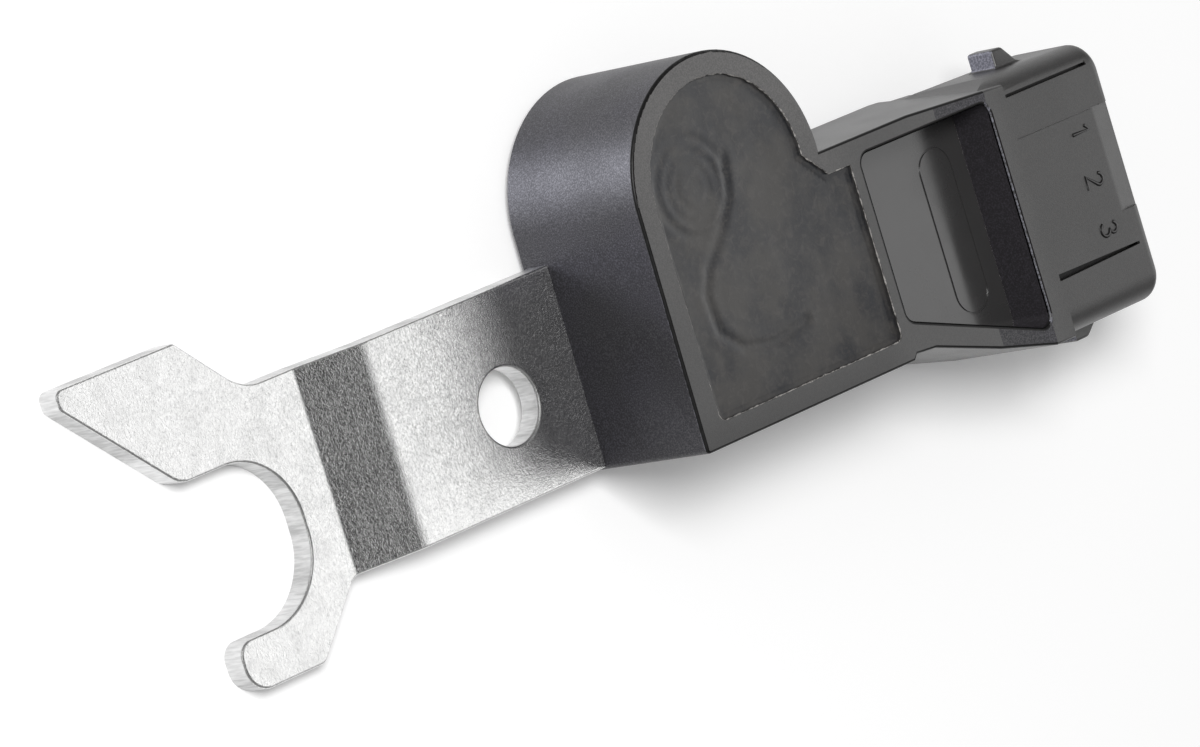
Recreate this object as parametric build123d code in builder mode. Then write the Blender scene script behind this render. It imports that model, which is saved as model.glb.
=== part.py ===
from build123d import *

import os
from math import asin, atan2, degrees, sin, tan

# Camshaft position sensor: a potted head on a forked steel bracket, with a three-pin plug socket.
# Sizes are in millimetres. The origin is the centre of the bolt hole on the bracket's back face.
# +X runs towards the plug socket, +Y towards the head's round top and +Z towards the potted front.

# Bracket sheet and its bolt hole
sheet_t = 2.5
edge_roll = 0.25
bolt_hole_r = 3.75
strip_top = 10.94
strip_bottom = -9.05

# Joggle that drops the fork behind the plate
joggle_near_x = -14.84
joggle_far_x = -22.3
joggle_drop = 1.9
joggle_near_r = 1.6
joggle_far_r = 1.1

# Fork: round-ended notch, pointed prong above it and short hook below it
notch_end_x = -26.3
notch_middle_y = -2.66
notch_half_height = 7.74
notch_corner_r = 7.1
prong_rise = 6.26
prong_apex_x = -34.7
prong_tip_x = -49.3
prong_tip_height = 1.8
prong_root_x = -38.7
prong_neck_r = 5.5
prong_root_r = 2.8
prong_apex_r = 0.5
prong_tip_r = 0.85
hook_thickness = 4.9
hook_end_x = -38.1
hook_upper_r = 1.6
hook_lower_r = 2.5
heel_x = -28.8
heel_r = 1.2
heel_root_r = 2.0

# Tongue of the bracket that is moulded into the head
tongue_inset = 2.4
tongue_length = 6.8
tongue_corner_r = 1.0
anchor_hole_r = 1.6
anchor_spacing = 8.0
bracket_back_cover = 0.8
bracket_front_cover = 2.5

# Head: round top, nearly straight left wall and flat foot
head_x = 22.16
head_y = 13.75
head_r = 12.4
head_lean = 0.45
head_bottom = -9.31
head_right = 39.4
head_depth = 17.4
head_foot_r = 0.5
head_step = 0.5
head_shoulder_drop = 0.5
rim_round = 0.3

# Cavity for the potting
rim_width = 2.3
cavity_right = 38.05
cavity_shoulder_y = 10.65
cavity_jog_angle = 2.5
cavity_corner_r = 0.8
potting_sink = 0.35

# Neck and its open recess
neck_top = 12.95
neck_back_rise = 0.25
neck_kink_x = 47.0
neck_fall_x = 42.1
neck_fall_y = -9.0
neck_waist_x = 50.7
neck_waist_y = -11.8
neck_depth = 14.3
web_t = 1.45
recess_depth = 5.1
recess_top_bar = 1.15
recess_foot_bar = 1.65
recess_foot_rise = 6.6
recess_corner_r = 1.2
insert_mark_length = 17.0
insert_mark_width = 4.7
insert_mark_line = 0.25
insert_mark_depth = 0.12
insert_mark_inset = 4.4
insert_mark_y = -0.1

# Flange between neck and plug socket
flange_left = 58.4
flange_width = 2.7
flange_top = 12.25

# Plug socket with its locking noses
socket_length = 14.3
socket_top_step = 0.61
socket_height = 26.61
socket_root_rise = 0.3
socket_thickness = 12.6
socket_corner_r = 3.0
socket_lip_r = 1.3
socket_wall = 1.6
socket_floor_t = 3.1
socket_inner_r = 1.3
key_rib_width = 1.4
key_rib_height = 0.7
nose_start = 4.6
nose_flat = 1.6
nose_ramp = 1.9
upper_nose_height = 2.1
lower_nose_height = 1.45
nose_width = 3.5
panel_top_inset = 2.16
panel_foot_inset = 6.0
panel_length = 12.4
panel_step = 0.3
panel_groove_width = 0.3
panel_groove_depth = 0.75
panel_line_inset = 6.31
panel_line_width = 0.15
panel_line_depth = 0.1
groove_wide = 0.7
groove_narrow = 0.28
groove_depth = 0.8
ramp_length = 3.2
ramp_drop = 0.7
ramp_width = 10.75

# Three flat pins, moulded in at the middle of the socket's thickness
pin_count = 3
pin_pitch = 5.0
pin_middle_y = -0.22
pin_t = 0.8
pin_width = 2.8
pin_setback = 4.4
pin_tip_taper = 0.7
pin_shoulder_length = 2.0
pin_strip_width = 1.5
pin_strip_end = 2.0
pin_pad_length = 4.2
pin_pad_pitch = 4.2
pin_tip_bevel = 0.25

# Circuit board on its posts
board_t = 1.0
board_gap = 0.8
board_top = 9.8
board_corner_r = 1.0
post_r = 1.6
post_inset = 2.4
post_right_inset = 7.6
pip_r = 0.7
pip_height = 0.5
pip_clearance = 0.05

# Hall chip with its plate, magnet and holder in the head's pocket
chip_middle_y = 14.25
chip_length = 4.1
chip_width = 3.0
chip_t = 1.5
chip_bevel = 0.4
plate_t = 0.5
magnet_side = 5.0
magnet_t = 4.0
holder_wall = 0.8
holder_clearance = 0.05
pocket_floor_t = 1.4
lead_count = 3
lead_pitch = 1.27
lead_side = 0.4
lead_bend_r = 0.6
lead_edge_inset = 1.2
lead_stub = 0.8
lead_hole_r = 0.35
lead_slot_width = 3.6
lead_room = 1.0

# Parts soldered on the board
capacitor_length = 3.2
capacitor_width = 1.6
capacitor_t = 1.25
capacitor_x = 26.5
capacitor_spread = 6.4
resistor_length = 2.0
resistor_width = 1.25
resistor_t = 0.5
resistor_x = 19.5
resistor_spread = 5.2
cap_share = 0.2
cap_rise = 0.05
lead_solder_r = 0.55
lead_solder_height = 0.5
solder_taper = 25.0
pin_solder_margin = 0.6
pin_solder_overlap = 2.0
pin_solder_cover = 0.3

# Worked-out places
head_back = -bracket_back_cover
rim_z = head_back + head_depth
neck_back = rim_z - neck_depth
recess_floor = rim_z - recess_depth
potting_top = rim_z - potting_sink
cavity_floor = sheet_t + bracket_front_cover
pocket_floor = head_back + pocket_floor_t
cavity_r = head_r - rim_width
cavity_left = head_x - cavity_r
cavity_bottom = head_bottom + rim_width
recess_left = cavity_right + web_t
flange_right = flange_left + flange_width
mouth_x = flange_right + socket_length
socket_top = flange_top + socket_top_step
socket_bottom = socket_top - socket_height
socket_back = rim_z - socket_thickness
socket_middle_y = (socket_top + socket_bottom) / 2
socket_middle_z = (rim_z + socket_back) / 2
socket_floor_x = flange_left + socket_floor_t
head_shoulder_y = neck_top - head_shoulder_drop
neck_root_drop = asin((head_y - head_shoulder_y) / head_r)
neck_foot_y = head_bottom + head_step
neck_back_top = neck_top + neck_back_rise
head_left = head_x - head_r
lean_per_mm = head_lean / (head_y - head_bottom)


def wall_x(y):
    """X of the head's leaning left wall at height y."""
    return head_left - lean_per_mm * (head_y - y)


recess_top = flange_top - recess_top_bar
recess_foot_right = socket_bottom + recess_foot_bar
recess_foot_left = recess_foot_right + recess_foot_rise
nose_x = flange_right + nose_start

notch_top = notch_middle_y + notch_half_height
notch_bottom = notch_middle_y - notch_half_height
prong_top = strip_top + prong_rise
hook_bottom = notch_bottom - hook_thickness
tongue_top = strip_top - tongue_inset
tongue_bottom = strip_bottom + tongue_inset
tongue_end = wall_x(strip_bottom) + tongue_length
anchor_places = [
    (tongue_end - tongue_length / 2, (strip_top + strip_bottom + side * anchor_spacing) / 2, sheet_t)
    for side in (1, -1)
]

pin_z = socket_middle_z - pin_t / 2
pin_end_x = mouth_x - pin_setback
pin_start_x = cavity_right - pin_pad_length
pin_shoulder_x = socket_floor_x - pin_shoulder_length
pin_jog_end_x = pin_shoulder_x - pin_strip_end
pin_ranks = [(pin_count - 1) / 2 - n for n in range(pin_count)]
pin_places = [pin_middle_y + pin_pitch * rank for rank in pin_ranks]

board_left = cavity_left + board_gap
board_right = cavity_right - board_gap
board_bottom = cavity_bottom + board_gap
board_middle_y = (board_bottom + board_top) / 2
pad_places = [board_middle_y + pin_pad_pitch * rank for rank in pin_ranks]
board_face = pin_z
board_under = board_face - board_t
post_places = [
    (x, y)
    for x in (board_left + post_inset, board_right - post_right_inset)
    for y in (board_bottom + post_inset, board_top - post_inset)
]

chip_top = pocket_floor + chip_t
plate_top = chip_top + plate_t
magnet_top = plate_top + magnet_t
holder_inner = magnet_side + 2 * holder_clearance
holder_outer = holder_inner + 2 * holder_wall
holder_top = magnet_top + holder_wall
pocket_width = holder_outer + 2 * holder_clearance
pocket_top = chip_middle_y + pocket_width / 2
lead_y = board_top - lead_edge_inset
lead_z = pocket_floor + chip_t / 2
pocket_bottom = lead_y - lead_room
lead_places = [head_x + lead_pitch * (n - (lead_count - 1) / 2) for n in range(lead_count)]
lead_top = board_face + lead_stub

os.makedirs("parts", exist_ok=True)


def finish(piece, name):
    """Label a finished piece and write it."""
    piece.label = name
    export_step(piece, f"parts/{name}.step")


# Bracket: bent sheet seen from its edge, cut to the fork's outline, front edges rolled by the punch
joggle_angle = atan2(joggle_drop, joggle_near_x - joggle_far_x)
bend_shift = sheet_t * tan(joggle_angle / 2)
sheet_section = [
    (prong_tip_x - sheet_t, sheet_t - joggle_drop),
    (joggle_far_x, sheet_t - joggle_drop),
    (joggle_near_x, sheet_t),
    (tongue_end + sheet_t, sheet_t),
    (tongue_end + sheet_t, 0),
    (joggle_near_x + bend_shift, 0),
    (joggle_far_x + bend_shift, -joggle_drop),
    (prong_tip_x - sheet_t, -joggle_drop),
]
bend_radii = [0, joggle_far_r, joggle_near_r + sheet_t, 0, 0, joggle_near_r, joggle_far_r + sheet_t, 0]
bracket_outline = [
    (wall_x(strip_top), strip_top),
    (prong_apex_x + prong_rise, strip_top),
    (prong_apex_x, prong_top),
    (prong_tip_x, prong_top),
    (prong_tip_x, prong_top - prong_tip_height),
    (prong_root_x, notch_top),
    (notch_end_x, notch_top),
    (notch_end_x, notch_bottom),
    (hook_end_x, notch_bottom),
    (hook_end_x, hook_bottom),
    (heel_x, hook_bottom),
    (heel_x + strip_bottom - hook_bottom, strip_bottom),
    (wall_x(strip_bottom), strip_bottom),
    (wall_x(tongue_bottom), tongue_bottom),
    (tongue_end, tongue_bottom),
    (tongue_end, tongue_top),
    (wall_x(tongue_top), tongue_top),
]
bracket_radii = [
    0,
    prong_neck_r,
    prong_apex_r,
    prong_tip_r,
    prong_tip_r,
    prong_root_r,
    notch_corner_r,
    notch_corner_r,
    hook_upper_r,
    hook_lower_r,
    heel_r,
    heel_root_r,
    0,
    0,
    tongue_corner_r,
    tongue_corner_r,
    0,
]
sheet_reach = prong_top - hook_bottom


def sheet_middle(x):
    """Z of the middle of the sheet's thickness at x."""
    share = min(max((joggle_near_x - x) / (joggle_near_x - joggle_far_x), 0), 1)
    return sheet_t / 2 - joggle_drop * share


def upright(face):
    """True for a face cut square to the sheet, which leans less than the joggle does."""
    return abs(face.normal_at().Z) < sin(joggle_angle) / 2


def rolled(edge):
    """True for a front edge of the sheet's cut outline that stands clear of the head."""
    middle = edge.center()
    return middle.X < wall_x(middle.Y) - sheet_t / 2 and middle.Z > sheet_middle(middle.X) + sheet_t / 4


with BuildPart() as mounting_bracket:
    with BuildSketch(Plane.XZ):
        with BuildLine():
            FilletPolyline(*sheet_section, radius=bend_radii, close=True)
        make_face()
    extrude(amount=sheet_reach, both=True)
    with BuildSketch(Plane.XY.offset(-sheet_t - joggle_drop)):
        with BuildLine():
            FilletPolyline(*bracket_outline, radius=bracket_radii, close=True)
        make_face()
    extrude(amount=2 * sheet_t + 2 * joggle_drop, mode=Mode.INTERSECT)
    with Locations((0, 0, sheet_t)):
        Hole(radius=bolt_hole_r, depth=sheet_t)
    with Locations(*anchor_places):
        Hole(radius=anchor_hole_r, depth=sheet_t)
    cut_faces = mounting_bracket.faces().filter_by(upright)
    fillet(cut_faces.edges().filter_by(rolled), radius=edge_roll)
finish(mounting_bracket.part, "mounting_bracket")


# Pins: flat blade in the socket, narrow strip through the neck that closes up to the pads, end
# lying on the circuit board
pins = []
for number, (y, pad_y) in enumerate(zip(pin_places, pad_places), start=1):
    with BuildPart() as terminal_pin:
        with BuildSketch(Plane.XY.offset(pin_z)):
            with BuildLine():
                Polyline(
                    (pin_start_x, pad_y + pin_strip_width / 2),
                    (recess_left, pad_y + pin_strip_width / 2),
                    (pin_jog_end_x, y + pin_strip_width / 2),
                    (pin_shoulder_x, y + pin_strip_width / 2),
                    (pin_shoulder_x, y + pin_width / 2),
                    (pin_end_x - pin_tip_taper, y + pin_width / 2),
                    (pin_end_x, y + pin_width / 2 - pin_tip_taper),
                    (pin_end_x, y - pin_width / 2 + pin_tip_taper),
                    (pin_end_x - pin_tip_taper, y - pin_width / 2),
                    (pin_shoulder_x, y - pin_width / 2),
                    (pin_shoulder_x, y - pin_strip_width / 2),
                    (pin_jog_end_x, y - pin_strip_width / 2),
                    (recess_left, pad_y - pin_strip_width / 2),
                    (pin_start_x, pad_y - pin_strip_width / 2),
                    close=True,
                )
            make_face()
        extrude(amount=pin_t)
        tip_edges = terminal_pin.faces().sort_by(Axis.X)[-1].edges().filter_by(Axis.Y)
        chamfer(tip_edges, length=pin_tip_bevel)
    pins.append(terminal_pin.part)
    finish(terminal_pin.part, f"terminal_pin_{number}")

# Hollow of the head: the potting's cavity round the board's posts, and the deeper pocket that
# brings the chip close to the head's back
with BuildPart() as hollow:
    with BuildSketch(Plane.XY.offset(cavity_floor)) as cavity_sketch:
        with BuildLine():
            cavity_crown = CenterArc((head_x, head_y), cavity_r, 180, -180 - cavity_jog_angle)
            jog = cavity_crown @ 1
            Polyline(
                jog,
                (jog.X + jog.Y - cavity_shoulder_y, cavity_shoulder_y),
                (cavity_right, cavity_shoulder_y),
                (cavity_right, cavity_bottom),
                (cavity_left, cavity_bottom),
                cavity_crown @ 0,
            )
        make_face()
        fillet(cavity_sketch.vertices().sort_by(Axis.Y)[:2], radius=cavity_corner_r)
    extrude(amount=rim_z - cavity_floor)
    with BuildSketch(Plane.XY.offset(pocket_floor)):
        with Locations((head_x, (pocket_top + pocket_bottom) / 2)):
            Rectangle(pocket_width, pocket_top - pocket_bottom)
    extrude(amount=cavity_floor - pocket_floor)
    with BuildSketch(Plane.XY.offset(cavity_floor)):
        with Locations(*post_places):
            Circle(post_r)
    extrude(amount=board_under - cavity_floor, mode=Mode.SUBTRACT)
    with BuildSketch(Plane.XY.offset(board_under)):
        with Locations(*post_places):
            Circle(pip_r)
    extrude(amount=board_t + pip_height, mode=Mode.SUBTRACT)

# Neck and flange: their top leans, and falls off in a facet towards the front
with BuildPart() as neck:
    with BuildSketch(Plane.XY.offset(neck_back)):
        with BuildLine():
            Polyline(
                (head_x, neck_back_top),
                (flange_left, neck_back_top),
                (flange_left, socket_bottom),
                (neck_waist_x, neck_waist_y),
                (neck_fall_x, neck_fall_y),
                (head_right, neck_foot_y),
                (head_x, neck_foot_y),
                close=True,
            )
        make_face()
    extrude(amount=neck_depth)
    with BuildSketch(Plane.XY.offset(socket_back)):
        with Locations(((flange_left + flange_right) / 2, (neck_back_top + socket_bottom) / 2)):
            Rectangle(flange_width, neck_back_top - socket_bottom)
    extrude(amount=socket_thickness)
    lean_line = Vector(neck_kink_x - head_x, 0, 0)
    fall_line = Vector(flange_left - neck_kink_x, flange_top - neck_top, 0)
    for start, across, along in (
        ((head_x, neck_top, rim_z), lean_line, Vector(0, neck_back_rise, -neck_depth)),
        (
            (flange_left, flange_top, rim_z),
            fall_line,
            Vector(0, socket_top - flange_top + neck_back_rise, -neck_depth),
        ),
    ):
        split(bisect_by=Plane(origin=start, x_dir=across, z_dir=across.cross(along)), keep=Keep.BOTTOM)

# Housing: head, neck, flange and plug socket in one moulding round the bracket's tongue and the pins
with BuildPart() as housing:
    with BuildSketch(Plane.XY.offset(head_back)) as head_sketch:
        with BuildLine():
            crown = CenterArc((head_x, head_y), head_r, 180, -180 - degrees(neck_root_drop))
            Polyline(
                crown @ 1,
                (head_right, head_shoulder_y),
                (head_right, neck_foot_y),
                (head_right - head_step, head_bottom),
                (wall_x(head_bottom), head_bottom),
                crown @ 0,
            )
        make_face()
        fillet(head_sketch.vertices().sort_by(Axis.X)[0], radius=head_foot_r)
    extrude(amount=head_depth)
    add(neck.part)
    front = housing.faces().sort_by(Axis.Z)[-1]
    fillet(front.outer_wire().edges().sort_by(Axis.X)[:-1], radius=rim_round)

    with BuildSketch(Plane.YZ.offset(flange_left)):
        with Locations((socket_middle_y + socket_root_rise / 2, socket_middle_z)):
            RectangleRounded(socket_height + socket_root_rise, socket_thickness, socket_corner_r)
    with BuildSketch(Plane.YZ.offset(mouth_x)):
        with Locations((socket_middle_y, socket_middle_z)):
            RectangleRounded(socket_height, socket_thickness, socket_corner_r)
    loft()
    fillet(housing.faces().sort_by(Axis.X)[-1].outer_wire().edges(), radius=socket_lip_r)

    with BuildSketch(Plane.XY.offset(socket_middle_z - nose_width / 2)):
        for side, face_y, height in (
            (1, socket_top, upper_nose_height),
            (-1, socket_bottom, lower_nose_height),
        ):
            with BuildLine():
                Polyline(
                    (nose_x, face_y - side * socket_wall / 2),
                    (nose_x, face_y + side * height),
                    (nose_x + nose_flat, face_y + side * height),
                    (nose_x + nose_flat + nose_ramp, face_y),
                    (nose_x + nose_flat + nose_ramp, face_y - side * socket_wall / 2),
                    close=True,
                )
            make_face()
    extrude(amount=nose_width)

    with BuildSketch(Plane.XY.offset(rim_z - panel_step)):
        with Locations((flange_right + panel_length / 2, socket_top - panel_top_inset / 2)):
            Rectangle(panel_length, panel_top_inset)
    extrude(amount=panel_step, mode=Mode.SUBTRACT)
    with BuildSketch(Plane.XY.offset(rim_z - panel_groove_depth)):
        with Locations((flange_right + panel_length / 2, socket_top - panel_top_inset)):
            Rectangle(panel_length, panel_groove_width, align=(Align.CENTER, Align.MIN))
    extrude(amount=panel_groove_depth, mode=Mode.SUBTRACT)
    with BuildSketch(Plane.XY.offset(rim_z - panel_line_depth)):
        with Locations((flange_right + panel_length / 2, socket_top - panel_line_inset)):
            Rectangle(panel_length, panel_line_width)
    extrude(amount=panel_line_depth, mode=Mode.SUBTRACT)
    with BuildSketch(Plane.XY.offset(rim_z - groove_depth)):
        with BuildLine():
            Polyline(
                (flange_right, socket_bottom + panel_foot_inset + groove_wide / 2),
                (flange_right + panel_length, socket_bottom + panel_foot_inset + groove_narrow / 2),
                (flange_right + panel_length, socket_bottom + panel_foot_inset - groove_narrow / 2),
                (flange_right, socket_bottom + panel_foot_inset - groove_wide / 2),
                close=True,
            )
        make_face()
    extrude(amount=groove_depth, mode=Mode.SUBTRACT)
    with BuildSketch(Plane.XZ.offset(panel_line_inset - socket_top)):
        with BuildLine():
            Polyline(
                (mouth_x - ramp_length, rim_z),
                (mouth_x, rim_z - ramp_drop),
                (mouth_x, rim_z),
                close=True,
            )
        make_face()
    extrude(amount=ramp_width, mode=Mode.SUBTRACT)

    with BuildSketch(Plane.YZ.offset(socket_floor_x)):
        with Locations((socket_middle_y, socket_middle_z)):
            RectangleRounded(
                socket_height - 2 * socket_wall, socket_thickness - 2 * socket_wall, socket_inner_r
            )
        with Locations((socket_bottom + socket_wall + key_rib_height / 2, socket_middle_z)):
            Rectangle(key_rib_height, key_rib_width, mode=Mode.SUBTRACT)
    extrude(amount=mouth_x - socket_floor_x, mode=Mode.SUBTRACT)

    with BuildSketch(Plane.XY.offset(recess_floor)):
        with BuildLine():
            FilletPolyline(
                (recess_left, recess_top),
                (flange_left, recess_top),
                (flange_left, recess_foot_right),
                (recess_left, recess_foot_left),
                radius=recess_corner_r,
                close=True,
            )
        make_face()
    extrude(amount=recess_depth, mode=Mode.SUBTRACT)
    with BuildSketch(Plane.XY.offset(recess_floor - insert_mark_depth)):
        with Locations((flange_left - insert_mark_inset, insert_mark_y)):
            SlotOverall(insert_mark_length, insert_mark_width, rotation=90)
            SlotOverall(
                insert_mark_length - 2 * insert_mark_line,
                insert_mark_width - 2 * insert_mark_line,
                rotation=90,
                mode=Mode.SUBTRACT,
            )
    extrude(amount=insert_mark_depth, mode=Mode.SUBTRACT)

    add(hollow.part, mode=Mode.SUBTRACT)
    add(mounting_bracket.part, mode=Mode.SUBTRACT)
    for pin in pins:
        add(pin, mode=Mode.SUBTRACT)
finish(housing.part, "housing")

# Circuit board: lies on the posts, its holes take their pips and the chip's leads
with BuildPart() as circuit_board:
    with BuildSketch(Plane.XY.offset(board_under)):
        with Locations(((board_left + board_right) / 2, board_middle_y)):
            RectangleRounded(board_right - board_left, board_top - board_bottom, board_corner_r)
        with Locations(*post_places):
            Circle(pip_r + pip_clearance, mode=Mode.SUBTRACT)
        with Locations(*[(x, lead_y) for x in lead_places]):
            Circle(lead_hole_r, mode=Mode.SUBTRACT)
    extrude(amount=board_t)
finish(circuit_board.part, "circuit_board")

# Hall chip, flat on the pocket's floor with its sensing face towards the head's back
with BuildPart() as hall_chip:
    with BuildSketch(Plane.XY.offset(pocket_floor)) as chip_sketch:
        with Locations((head_x, chip_middle_y)):
            Rectangle(chip_length, chip_width)
        chamfer(chip_sketch.vertices().sort_by(Axis.Y)[-2:], length=chip_bevel)
    extrude(amount=chip_t)
finish(hall_chip.part, "hall_chip")

# Pole plate on the chip and the magnet on the plate
with BuildPart() as pole_plate:
    with BuildSketch(Plane.XY.offset(chip_top)):
        with Locations((head_x, chip_middle_y)):
            Rectangle(magnet_side, magnet_side)
    extrude(amount=plate_t)
finish(pole_plate.part, "pole_plate")

with BuildPart() as magnet:
    with BuildSketch(Plane.XY.offset(plate_top)):
        with Locations((head_x, chip_middle_y)):
            Rectangle(magnet_side, magnet_side)
    extrude(amount=magnet_t)
finish(magnet.part, "magnet")

# Holder: cap over chip, plate and magnet, with a slot that lets the leads out
with BuildPart() as chip_holder:
    with BuildSketch(Plane.XY.offset(pocket_floor)):
        with Locations((head_x, chip_middle_y)):
            Rectangle(holder_outer, holder_outer)
    extrude(amount=holder_top - pocket_floor)
    with BuildSketch(Plane.XY.offset(pocket_floor)):
        with Locations((head_x, chip_middle_y)):
            Rectangle(holder_inner, holder_inner)
    extrude(amount=magnet_top - pocket_floor, mode=Mode.SUBTRACT)
    with BuildSketch(Plane.XY.offset(pocket_floor)):
        with Locations((head_x, chip_middle_y - holder_outer / 2)):
            Rectangle(lead_slot_width, 2 * holder_wall)
    extrude(amount=chip_t, mode=Mode.SUBTRACT)
finish(chip_holder.part, "chip_holder")

# Leads: out of the chip's lower edge, then up through the board
leads = []
for number, x in enumerate(lead_places, start=1):
    with BuildPart() as hall_lead:
        with BuildLine(Plane.YZ.offset(x)) as lead_line:
            FilletPolyline(
                (chip_middle_y - chip_width / 2, lead_z),
                (lead_y, lead_z),
                (lead_y, lead_top),
                radius=lead_bend_r,
            )
        with BuildSketch(Plane(origin=lead_line.line @ 0, z_dir=lead_line.line % 0)):
            Rectangle(lead_side, lead_side)
        sweep()
    leads.append(hall_lead.part)
    finish(hall_lead.part, f"hall_lead_{number}")


def small_part(x, y, length, width, height):
    """Ceramic chip part on the board's face, with a metal cap round each end."""
    cap_length = length * cap_share
    with BuildPart() as part:
        with BuildSketch(Plane.XY.offset(board_face + cap_rise)):
            with Locations((x, y)):
                Rectangle(length - 2 * cap_rise, width)
        extrude(amount=height)
        with BuildSketch(Plane.XY.offset(board_face)):
            with Locations((x - (length - cap_length) / 2, y), (x + (length - cap_length) / 2, y)):
                Rectangle(cap_length, width + 2 * cap_rise)
        extrude(amount=height + 2 * cap_rise)
    return part.part


board_parts = []
for number, side in enumerate((1, -1), start=1):
    capacitor = small_part(
        capacitor_x,
        board_middle_y + side * capacitor_spread / 2,
        capacitor_length,
        capacitor_width,
        capacitor_t,
    )
    resistor = small_part(
        resistor_x,
        board_middle_y + side * resistor_spread / 2,
        resistor_length,
        resistor_width,
        resistor_t,
    )
    board_parts += [capacitor, resistor]
    finish(capacitor, f"capacitor_{number}")
    finish(resistor, f"resistor_{number}")

# Solder over each pin's end and round each lead
joints = []
for number, y in enumerate(pad_places, start=1):
    with BuildPart() as pin_solder:
        with BuildSketch(Plane.XY.offset(board_face)):
            with Locations((pin_start_x + (pin_solder_overlap - pin_solder_margin) / 2, y)):
                Rectangle(
                    pin_solder_overlap + pin_solder_margin, pin_strip_width + 2 * pin_solder_margin
                )
        extrude(amount=pin_t + pin_solder_cover, taper=solder_taper)
        add(pins[number - 1], mode=Mode.SUBTRACT)
    joints.append(pin_solder.part)
    finish(pin_solder.part, f"pin_solder_{number}")
for number, x in enumerate(lead_places, start=1):
    with BuildPart() as lead_solder:
        with BuildSketch(Plane.XY.offset(board_under)):
            with Locations((x, lead_y)):
                Circle(lead_hole_r)
        extrude(amount=board_t)
        with BuildSketch(Plane.XY.offset(board_face)):
            with Locations((x, lead_y)):
                Circle(lead_solder_r)
        extrude(amount=lead_solder_height, taper=solder_taper)
        add(leads[number - 1], mode=Mode.SUBTRACT)
    joints.append(lead_solder.part)
    finish(lead_solder.part, f"lead_solder_{number}")

# Potting: fills the hollow round everything in it, to just under the rim
with BuildPart() as potting_compound:
    add(hollow.part)
    split(bisect_by=Plane.XY.offset(potting_top), keep=Keep.BOTTOM)
    for piece in (circuit_board, hall_chip, pole_plate, magnet, chip_holder):
        add(piece.part, mode=Mode.SUBTRACT)
    for piece in pins + leads + board_parts + joints:
        add(piece, mode=Mode.SUBTRACT)
finish(potting_compound.part, "potting_compound")
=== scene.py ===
"""Camshaft position sensor: finishes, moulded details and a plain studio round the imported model.

Everything is in metres in the part's own frame: +X to the plug socket, +Y to the head's round top,
+Z to the potted front, with the origin at the bolt hole on the bracket's back face.
"""

import math

import bpy
from bpy.props import FloatProperty, FloatVectorProperty, PointerProperty
from mathutils import Euler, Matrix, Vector, noise


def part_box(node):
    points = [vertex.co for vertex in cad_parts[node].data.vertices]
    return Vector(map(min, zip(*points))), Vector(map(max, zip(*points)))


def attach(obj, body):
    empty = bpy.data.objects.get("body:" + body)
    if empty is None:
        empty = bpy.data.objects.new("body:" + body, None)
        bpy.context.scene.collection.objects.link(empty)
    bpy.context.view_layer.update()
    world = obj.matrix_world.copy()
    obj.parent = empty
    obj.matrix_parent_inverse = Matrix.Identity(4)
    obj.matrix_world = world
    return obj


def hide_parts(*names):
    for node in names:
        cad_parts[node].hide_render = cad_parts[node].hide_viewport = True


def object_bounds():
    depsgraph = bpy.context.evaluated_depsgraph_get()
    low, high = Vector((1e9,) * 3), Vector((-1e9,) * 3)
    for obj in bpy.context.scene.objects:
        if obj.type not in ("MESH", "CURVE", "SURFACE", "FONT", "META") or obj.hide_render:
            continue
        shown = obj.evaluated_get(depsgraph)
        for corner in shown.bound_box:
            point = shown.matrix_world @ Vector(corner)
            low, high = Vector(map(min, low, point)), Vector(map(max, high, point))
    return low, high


bl_info = {
    "name": "Camshaft Position Sensor",
    "version": (1, 0, 0),
    "blender": (4, 5, 0),
    "location": "View3D > Sidebar > Sensor",
    "description": "Dresses a packed camshaft position sensor and sets it in a plain studio",
    "category": "Object",
}

MM = 0.001
BODY = "root"
# Middle of the swirl in the set resin, in mm
SWIRL = (
    (22.7, 16.0), (21.6, 12.2), (19.5, 9.5), (16.7, 6.8), (15.4, 4.3), (15.7, 0.7), (18.2, -1.5),
    (22.6, -2.3), (27.0, -1.4),
)

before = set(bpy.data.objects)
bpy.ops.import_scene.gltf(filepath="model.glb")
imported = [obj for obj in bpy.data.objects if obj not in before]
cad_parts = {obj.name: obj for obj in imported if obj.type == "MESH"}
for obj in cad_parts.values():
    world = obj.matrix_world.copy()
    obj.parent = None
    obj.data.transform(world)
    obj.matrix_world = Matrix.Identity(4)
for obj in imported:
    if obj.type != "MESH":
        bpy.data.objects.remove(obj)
CAD_BOX = [list(corner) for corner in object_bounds()]
HOUSING_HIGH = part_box("housing")[1]
POTTING_LOW, POTTING_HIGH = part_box("potting_compound")
POTTING_MIDDLE = (Vector(POTTING_LOW) + Vector(POTTING_HIGH)) / 2
RIM_Z = HOUSING_HIGH[2]
MOUTH_X = HOUSING_HIGH[0]
SHELL_TOP_Y = 12.25 * MM
SHELL_BOTTOM_Y = -13.8 * MM
HEAD_END_X = 34 * MM
RECESS_LEFT_X = 39 * MM
FLANGE_X = 58.4 * MM
# At the flange the neck's top lies at y = NECK_TOP_Y - NECK_FALL * z, a step under the socket's
NECK_TOP_Y = 13.27 * MM
NECK_FALL = 0.0606
STEP_RISE = 0.71 * MM
STEP_REACH = 3.6 * MM
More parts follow.
